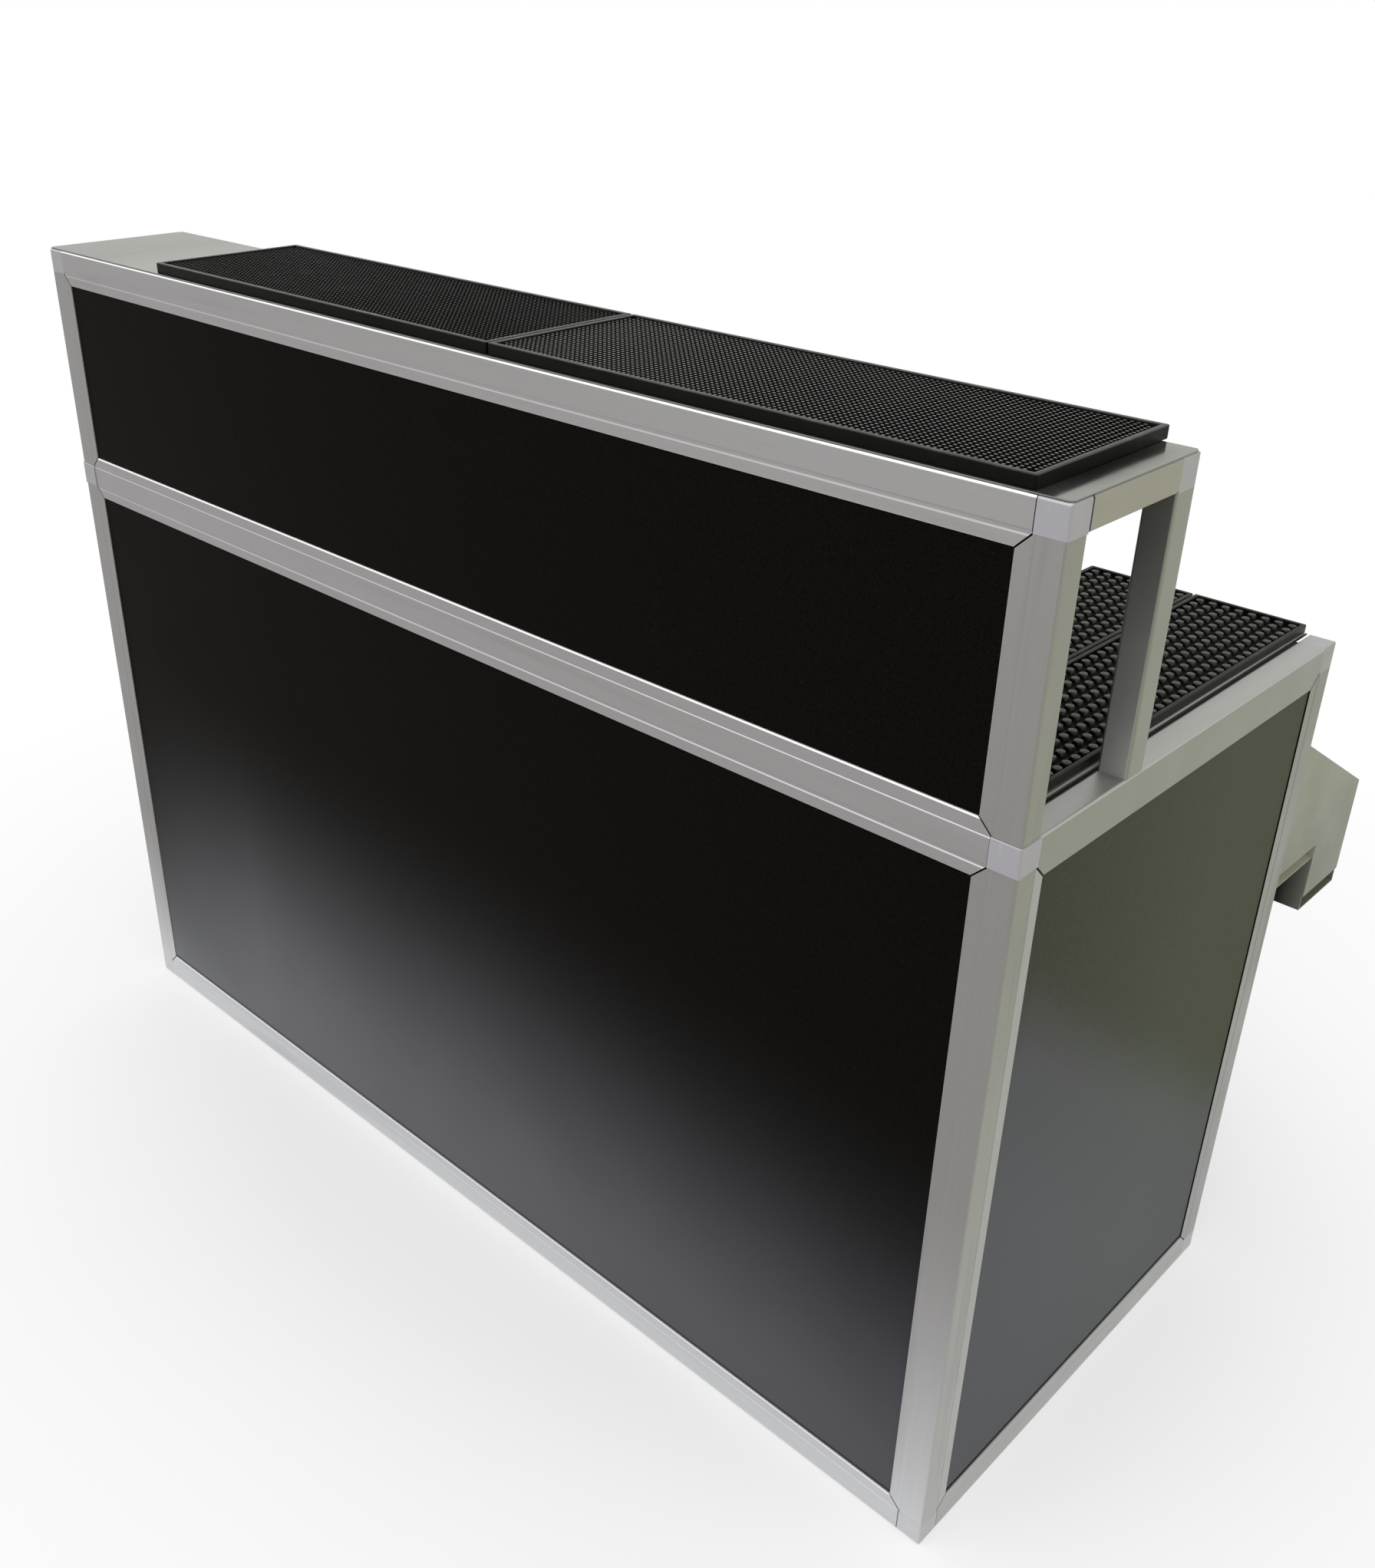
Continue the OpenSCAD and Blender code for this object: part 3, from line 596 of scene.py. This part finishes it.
def polished_sheet(name, shaded_below, hem, dull, grazing):
    """Bright rolled sheet with fine scratches and smears.

    Its edge takes painted shade below one height, its faces that do not look up are painted
    darker as shade, and its ends are hemmed and dull beyond another.
    Grazing light takes the colour of the last value.
    """
    g = Graph(name, Specular_Tint=grazing)
    brush = g.drawn(X, 1900.0, 9.0, 3.0, 0.6)
    smear = g.ranged(g.noise(7.0, 4.0, 0.6), 0.45, 0.75)
    upward = g.ranged(g.facing(Z), 0.2, 0.8)
    g.colour = g.mixed(g.patchy(brush), srgb(140, 140, 136), srgb(154, 154, 150))
    g.coat(g.product(smear, 0.2), srgb(128, 128, 122))
    g.colour = g.mixed(upward, srgb(126, 126, 122), g.colour)
    sheet_shades(g, upward)
    hemmed = sheet_rims(g, shaded_below, hem)
    swirl = g.patchy(g.noise(60.0, 5.0, 0.7), dull, dull + 0.05)
    rough = g.math("ADD", swirl, g.product(smear, 0.05))
    g.roughen(g.math("MAXIMUM", rough, g.product(hemmed, 0.4)))
    g.put(g.ranged(hemmed, 0.0, 1.0, 1.0 - dull, 0.2), g.shader.inputs["Metallic"])
    g.bump(brush, 0.01 * MM, 0.12)
    return g.made()


def rack_insides(g):
    """Painted light on undersides and forward faces, painted shade on the walls behind the open
    slots and painted light on the floors there.
    """
    forward = g.facing(Y)
    hidden = g.math("MAXIMUM", g.product(forward, -1.0), g.product(g.facing(Z), -1.0))
    g.coat(g.ranged(hidden, 0.5, 0.9), srgb(180, 178, 170))
    wall = g.product(g.ranged(forward, -0.5, -0.9), g.ranged(g.at(Z), *WALL_LEVEL))
    wall_end = g.ranged(g.outward(), *WALL_END)
    g.coat(wall, g.mixed(wall_end, srgb(50, 50, 46), srgb(146, 146, 136)))
    floor = g.product(g.ranged(g.facing(Z), 0.8, 0.95), g.ranged(g.at(Z), *FLOOR_LEVEL))
    inner = g.ranged(g.at(Z), *INNER_FLOOR)
    g.coat(g.product(floor, g.ranged(g.outward(), *FLOOR_END)),
           g.mixed(inner, srgb(128, 127, 108), srgb(204, 200, 176)))


def rack_steel(name):
    """Satin sheet steel of the rack, its ends darker and green-grey as painted shade and a
    painted green reflection, and darker low down.
    """
    g = Graph(name, Metallic=0.6)
    brush = g.drawn(X, 1500.0, 9.0, 3.0, 0.6)
    smear = g.ranged(g.noise((22.0, 22.0, 9.0), 4.0, 0.65), 0.55, 0.8)
    ends = g.mixed(g.ranged(g.at(Z), *RACK_FOOT), srgb(121, 124, 97), srgb(88, 91, 67))
    g.colour = g.mixed(g.ranged(g.sideways(), *RACK_SIDE), srgb(158, 158, 154), ends)
    g.fleck(brush, 0.10, srgb(156, 159, 138))
    g.coat(g.product(smear, 0.14), srgb(112, 114, 98))
    rack_insides(g)
    g.wear_and_highlight(0.6 * MM, 0.3, srgb(200, 201, 190))
    g.roughen(g.math("ADD", g.patchy(g.noise(14.0, 3.0), 0.30, 0.38), g.product(smear, 0.08)))
    g.bump(brush, 0.015 * MM, 0.2)
    return g.made()


def rubber(name, gloss, dark, pale, glint, rough):
    """Black moulded rubber, smoother in patches, where a painted sheen makes it greyer."""
    g = Graph(name, Specular_IOR_Level=gloss, Specular_Tint=srgb(251, 255, 240))
    grain = g.noise(1300.0, 3.0, 0.6)
    cloud = g.noise(11.0, 4.0, 0.6)
    streak = g.ranged(g.noise(34.0, 3.0, 0.6), 0.55, 0.75)
    g.colour = g.mixed(g.patchy(grain), dark, pale)
    g.fleck(cloud, 0.5, glint)
    g.coat(g.product(streak, 0.5), glint)
    g.roughen(g.math("SUBTRACT", g.patchy(cloud, rough, rough + 0.08),
                     g.product(streak, 0.4 * rough)))
    g.bump(grain, 0.02 * MM, 0.3)
    return g.made()


def zinc(name):
    """Zinc-plated hinges, hooks and screws, slightly mottled."""
    g = Graph(name, Metallic=1.0)
    cloud = g.noise(160.0, 4.0, 0.6)
    g.colour = g.mixed(g.patchy(cloud), srgb(150, 152, 156), srgb(186, 187, 188))
    g.wear_and_highlight(0.5 * MM, 0.6, srgb(222, 222, 222))
    g.roughen(g.patchy(cloud, 0.26, 0.42))
    g.bump(g.noise(900.0), 0.03 * MM, 0.4)
    return g.made()


def plain_sight(tree):
    """1 for what the camera sees, by itself, in reflections or through glass."""
    path = tree.nodes.new("ShaderNodeLightPath")
    seen = path.outputs["Is Camera Ray"]
    for name in ("Is Glossy Ray", "Is Transmission Ray"):
        both = tree.nodes.new("ShaderNodeMath")
        both.operation = "MAXIMUM"
        tree.links.new(seen, both.inputs[0])
        tree.links.new(path.outputs[name], both.inputs[1])
        seen = both.outputs["Value"]
    return seen


def floor_paint(name):
    """Pale floor that keeps the object's shadow and runs out into the white background."""
    g = Graph(name, Specular_IOR_Level=0.2)
    g.colour = g.mixed(g.noise(1.2), srgb(238, 238, 239), srgb(243, 243, 243))
    g.roughen(0.85)
    away = g.add("ShaderNodeVectorMath", operation="LENGTH")
    g.put(g.place.outputs["Object"], away.inputs[0])
    far = g.ranged(away.outputs["Value"], 0.6, 1.8, 0.42, 1.0)
    white = g.add("ShaderNodeEmission")
    blend = g.add("ShaderNodeMixShader")
    shares = (g.product(far, plain_sight(g.tree)), g.shader.outputs[0], white.outputs[0])
    g.put_all(shares, blend.inputs)
    g.put(blend.outputs[0], g.tree.nodes["Material Output"].inputs["Surface"])
    return g.made()


def dress(names, material):
    for name in names:
        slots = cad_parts[name].data.materials
        slots.clear()
        slots.append(material)


def soften(names, width, angle=40.0, segments=2):
    """Breaks the sharp edges of CAD nodes with a narrow bevel."""
    for name in names:
        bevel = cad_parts[name].modifiers.new("edge", "BEVEL")
        bevel.width = width
        bevel.segments = segments
        bevel.limit_method = "ANGLE"
        bevel.angle_limit = math.radians(angle)
        bevel.use_clamp_overlap = True


def square_ring(sides, half_x, half_y):
    """Points round a rectangle, as many as a nub has sides, starting at its +X +Y corner."""
    per = sides // 4
    ring = []
    corners = [(1, 1), (-1, 1), (-1, -1), (1, -1)]
    for k, (ax, ay) in enumerate(corners):
        bx, by = corners[(k + 1) % 4]
        for i in range(per):
            t = i / per
            ring.append(((ax + (bx - ax) * t) * half_x, (ay + (by - ay) * t) * half_y))
    return ring


def nub_profile(spec, floor, top):
    """A nub's section from the floor to its flat crown: radius, height and the arc painted as
    lit.
    """
    foot, crown = spec["foot"], spec["crown"]
    soft = 0.16 * crown
    side = [(foot + soft, floor, None), (foot, floor + 0.6 * soft, None)]
    start, end = side[-1][1], top - 0.8 * soft
    for share, glint in spec["bands"]:
        side.append((foot + (crown - foot) * share, start + (end - start) * share, glint))
    edge = (crown - 0.3 * soft, top - 0.25 * soft, ALL_ROUND)
    return side + [edge, (crown - soft, top, ALL_ROUND)]


def nub_tone(glint, angle):
    """Which rubber a strip of a nub's side takes: the crown's on the arc painted as lit, the
    dull one as painted shade elsewhere.
    """
    turned = (math.degrees(angle) + 180) % 360 - 180
    return CROWN if glint and glint[0] <= turned <= glint[1] else DULL


def nub_cell(spec, half_x, half_y, floor, top):
    """One square of a mat's floor with a tapered nub standing on it."""
    sides = spec["sides"]
    step = 2 * math.pi / sides
    turns = [math.pi / 4 + step * i for i in range(sides)]
    profile = nub_profile(spec, floor, top)
    points = [(x, y, floor) for x, y in square_ring(sides, half_x, half_y)]
    for r, z, _ in profile:
        points += [(r * math.cos(a), r * math.sin(a), z) for a in turns]
    faces, tones = [], []
    for k in range(len(profile)):
        for i in range(sides):
            j = (i + 1) % sides
            a, b = k * sides, (k + 1) * sides
            faces.append((a + i, a + j, b + j, b + i))
            tones.append(nub_tone(profile[k][2], turns[i] + step / 2) if k else DULL)
    faces.append(tuple(range(len(profile) * sides, (len(profile) + 1) * sides)))
    tones.append(CROWN)
    return points, faces, tones


def nub_field(spec, low, high):
    """The mesh of a mat's floor with all its nubs, and how far it lies inside the mat."""
    columns, rows, edge = spec["columns"], spec["rows"], spec["edge"]
    half_x = (high.x - low.x - 2 * edge) / (columns - 1) / 2
    half_y = (high.y - low.y - 2 * edge) / (rows - 1) / 2
    cell = nub_cell(spec, half_x, half_y, low.z + spec["floor_up"], high.z - spec["drop"])
    bare = (cell[0][:spec["sides"]], [tuple(range(spec["sides"]))], [DULL])
    points, faces, tones = [], [], []
    for i in range(columns):
        for j in range(rows):
            corner = i in (0, columns - 1) and j in (0, rows - 1)
            shape, sides, tone = bare if corner and spec["bare_corners"] else cell
            start = len(points)
            cx = low.x + edge + 2 * i * half_x
            cy = low.y + edge + 2 * j * half_y
            points += [(x + cx, y + cy, z) for x, y, z in shape]
            faces += [tuple(start + k for k in face) for face in sides]
            tones += tone
    mesh = bpy.data.meshes.new("slab")
    mesh.from_pydata(points, [], faces)
    mesh.polygons.foreach_set("material_index", tones)
    return mesh, edge - min(half_x, half_y)


def close_slab(made, bottom_z):
    """Draws the border of an open field of nubs down to the mat's underside and closes it."""
    border = [e for e in made.edges if e.is_boundary]
    grown = bmesh.ops.extrude_edge_only(made, edges=border)["geom"]
    for vert in (g for g in grown if isinstance(g, bmesh.types.BMVert)):
        vert.co.z = bottom_z
    bottom = [g for g in grown if isinstance(g, bmesh.types.BMEdge)]
    bmesh.ops.contextual_create(made, geom=[e for e in bottom if e.is_boundary])


def rounded_loop(low, high, inset, radius, steps=6):
    """Points round a rectangle that is inset from a box, with rounded corners."""
    x0, x1 = low.x + inset, high.x - inset
    y0, y1 = low.y + inset, high.y - inset
    radius = max(radius - inset, 0.25 * MM)
    centres = [
        (x1 - radius, y1 - radius, 0), (x0 + radius, y1 - radius, 90),
        (x0 + radius, y0 + radius, 180), (x1 - radius, y0 + radius, 270),
    ]
    loop = []
    for cx, cy, start in centres:
        for k in range(steps + 1):
            a = math.radians(start + 90 * k / steps)
            loop.append((cx + radius * math.cos(a), cy + radius * math.sin(a)))
    return loop


def rim_section(spec, low, high, inner):
    """The rim's section: inset, height, and the rubber from there to the next point."""
    floor, rim, wall, soft = low.z + spec["floor_up"], spec["rim"], spec["wall"], RIM_SOFT
    return [
        (0.0, low.z + soft, wall), (0.0, high.z - 1.3 * soft, RIM),
        (0.2 * soft, high.z - 0.35 * soft, RIM), (soft, high.z, RIM),
        (rim - soft, high.z, RIM), (rim - 0.2 * soft, high.z - 0.35 * soft, RIM),
        (rim, high.z - 1.3 * soft, DULL), (rim + 0.3 * MM, floor + soft, DULL),
        (rim + soft, floor + 0.1 * soft, DULL), (inner, floor, DULL),
        (inner, low.z, DULL), (soft, low.z, wall),
    ]


def rim_ring(made, low, high, section, radius):
    """Sweeps the rim's section round the mat and closes it."""
    loops = []
    for inset, z, _ in section:
        loop = rounded_loop(low, high, inset, radius)
        loops.append([made.verts.new((x, y, z)) for x, y in loop])
    for k, (_, _, tone) in enumerate(section):
        here, there = loops[k], loops[(k + 1) % len(loops)]
        for i in range(len(here)):
            j = (i + 1) % len(here)
            made.faces.new((here[i], here[j], there[j], there[i])).material_index = tone


def mat_mesh(name, spec, low, high):
    """The mesh of a whole mat: a rim round a floor of nubs, turned as it lies."""
    made = bmesh.new()
    field, inner = nub_field(spec, low, high)
    made.from_mesh(field)
    bpy.data.meshes.remove(field)
    bmesh.ops.remove_doubles(made, verts=made.verts, dist=MERGE)
    close_slab(made, low.z)
    rim_ring(made, low, high, rim_section(spec, low, high, inner), spec["corner"])
    bmesh.ops.recalc_face_normals(made, faces=made.faces)
    middle = (low + high) / 2
    turned = Matrix.Rotation(spec["turn"], 4, "Z")
    spin = Matrix.Translation(middle) @ turned @ Matrix.Translation(-middle)
    bmesh.ops.transform(made, matrix=spin, verts=made.verts)
    mesh = bpy.data.meshes.new(name)
    made.to_mesh(mesh)
    made.free()
    return mesh


def mat(node, spec, rubbers):
    """A rubber mat. It stands for the plain block."""
    low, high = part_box(node)
    mesh = mat_mesh(node + "_rubber", spec, low, high)
    for material in rubbers:
        mesh.materials.append(material)
    mesh.shade_smooth()
    mesh.set_sharp_from_angle(angle=SMOOTH_BELOW)
    piece = bpy.data.objects.new(node + "_rubber", mesh)
    bpy.context.scene.collection.objects.link(piece)
    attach(piece, node)
    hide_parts(node)


def white_world(strength):
    """White to the camera and in reflections, dimmer as light on dull surfaces."""
    world = bpy.data.worlds.new("studio")
    world.use_nodes = True
    bpy.context.scene.world = world
    tree = world.node_tree
    back = tree.nodes["Background"]
    back.inputs["Color"].default_value = (1.0, 1.0, 1.0, 1.0)
    level = tree.nodes.new("ShaderNodeMapRange")
    tree.links.new(plain_sight(tree), level.inputs["Value"])
    level.inputs["To Min"].default_value = strength
    level.inputs["To Max"].default_value = 1.0
    tree.links.new(level.outputs["Result"], back.inputs["Strength"])


def white_floor():
    half = FLOOR_HALF
    points = [(-half, -half), (half, -half), (half, half), (-half, half)]
    mesh = bpy.data.meshes.new("floor")
    mesh.from_pydata([(x, y, FLOOR_Z) for x, y in points], [], [(0, 1, 2, 3)])
    mesh.materials.append(floor_paint("floor"))
    floor = bpy.data.objects.new("floor", mesh)
    bpy.context.scene.collection.objects.link(floor)


def soft_box(name, spot, target, size, watts):
    lamp = bpy.data.lights.new(name, "AREA")
    lamp.shape = "RECTANGLE"
    lamp.size, lamp.size_y = size
    lamp.energy = watts
    made = bpy.data.objects.new(name, lamp)
    bpy.context.scene.collection.objects.link(made)
    made.location = spot
    made.rotation_euler = (Vector(target) - Vector(spot)).to_track_quat("-Z", "Y").to_euler()


def camera():
    """The camera that was fitted to the photo."""
    yaw, pitch, roll = (math.radians(a) for a in CAMERA_TURN)
    ahead = Vector((
        math.sin(yaw) * math.cos(pitch), math.cos(yaw) * math.cos(pitch), math.sin(pitch),
    ))
    level = ahead.cross(Vector((0, 0, 1))).normalized()
    upright = level.cross(ahead)
    right = math.cos(roll) * level + math.sin(roll) * upright
    up = math.cos(roll) * upright - math.sin(roll) * level
    lens = bpy.data.cameras.new("camera")
    lens.lens = CAMERA_LENS
    lens.sensor_width = CAMERA_SENSOR
    lens.shift_x, lens.shift_y = CAMERA_SHIFT
    made = bpy.data.objects.new("camera", lens)
    bpy.context.scene.collection.objects.link(made)
    turn = Matrix((right, up, -ahead)).transposed().to_4x4()
    made.matrix_world = Matrix.Translation(CAMERA_PLACE) @ turn
    bpy.context.scene.camera = made


def dress_rails():
    """The rails, each with its own painted highlight lines, which need the nodes' boxes."""
    shelf_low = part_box("shelf_rear_rail")[0].z
    middle_low, middle_high = (corner.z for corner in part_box("middle_rail"))
    bottom_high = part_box("bottom_rail")[1].z
    dress(RAILS_X, long_rail("tube_along_bar", 1.0, groove=shelf_low, lit=0.3))
    dress(["middle_rail"], long_rail("middle_tube", 0.42, groove=middle_low + FIN, lit=0.6,
                                     crest=middle_high))
    dress(["bottom_rail"], long_rail("bottom_tube", 0.0, crest=bottom_high))
    dress(RAILS_Y, cross_rail("tube_across_bar"))
    dress(SHELF_RAILS, shelf_tube("shelf_tube"))


def dress_sheets():
    """The two sheets: the worktop's is hemmed and duller, the shelf's has painted shade along
    its edge.
    """
    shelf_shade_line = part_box("shelf_sheet")[0].z + 0.6 * MM
    worktop = polished_sheet("worktop_sheet", shaded_below=0.0, hem=0.7427, dull=0.3,
                             grazing=(1.0, 1.0, 1.0, 1.0))
    shelf = polished_sheet("shelf_sheet", shaded_below=shelf_shade_line, hem=2.0, dull=0.1,
                           grazing=(0.78, 0.78, 0.75, 1.0))
    dress(["worktop_sheet"], worktop)
    dress(["shelf_sheet"], shelf)


def dress_rest():
    """Everything but the rails and the sheets."""
    dress(POSTS, post("post"))
    dress(REAR_POSTS, rear_post("rear_post"))
    dress(LEGS, shelf_leg("shelf_leg"))
    dress(LEDGES, black_aluminium("black_aluminium"))
    dress(CORNERS, moulded_plastic("corner_plastic"))
    dress(FRONT_PANELS, laminate("laminate_front", 0.008, front_sheen, front_shade, 0.012))
    dress(SIDE_PANELS, laminate("laminate_side", 0.002, side_sheen, side_shade, 0.10))
    dress(RACK, rack_steel("rack_steel"))
    dress(HARDWARE, zinc("zinc_hardware"))


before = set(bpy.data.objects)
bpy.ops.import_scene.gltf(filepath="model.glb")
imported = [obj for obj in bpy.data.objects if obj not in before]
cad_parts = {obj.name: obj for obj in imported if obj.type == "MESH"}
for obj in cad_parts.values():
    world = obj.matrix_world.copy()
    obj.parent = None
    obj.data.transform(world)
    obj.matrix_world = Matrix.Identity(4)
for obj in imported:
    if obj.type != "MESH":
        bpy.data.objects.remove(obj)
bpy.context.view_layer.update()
bpy.context.scene.view_settings.view_transform = "Standard"
camera()
dress_rails()
dress_sheets()
dress_rest()
soften(RAILS_X + PANEL_RAILS + RAILS_Y + SHELF_RAILS, 0.35 * MM)
soften(POSTS + REAR_POSTS + LEGS + LEDGES, 0.35 * MM)
soften(["worktop_sheet", "shelf_sheet"], 0.6 * MM, segments=3)
soften(RACK + FRONT_PANELS + SIDE_PANELS, 0.4 * MM)
rubbers = {kind: rubber("rubber_" + kind, *look) for kind, look in RUBBERS.items()}
for node, (spec, kinds) in MATS.items():
    mat(node, spec, [rubbers[kind] for kind in kinds])
white_floor()
white_world(WORLD_LIGHT)
for lamp in LAMPS:
    soft_box(*lamp)
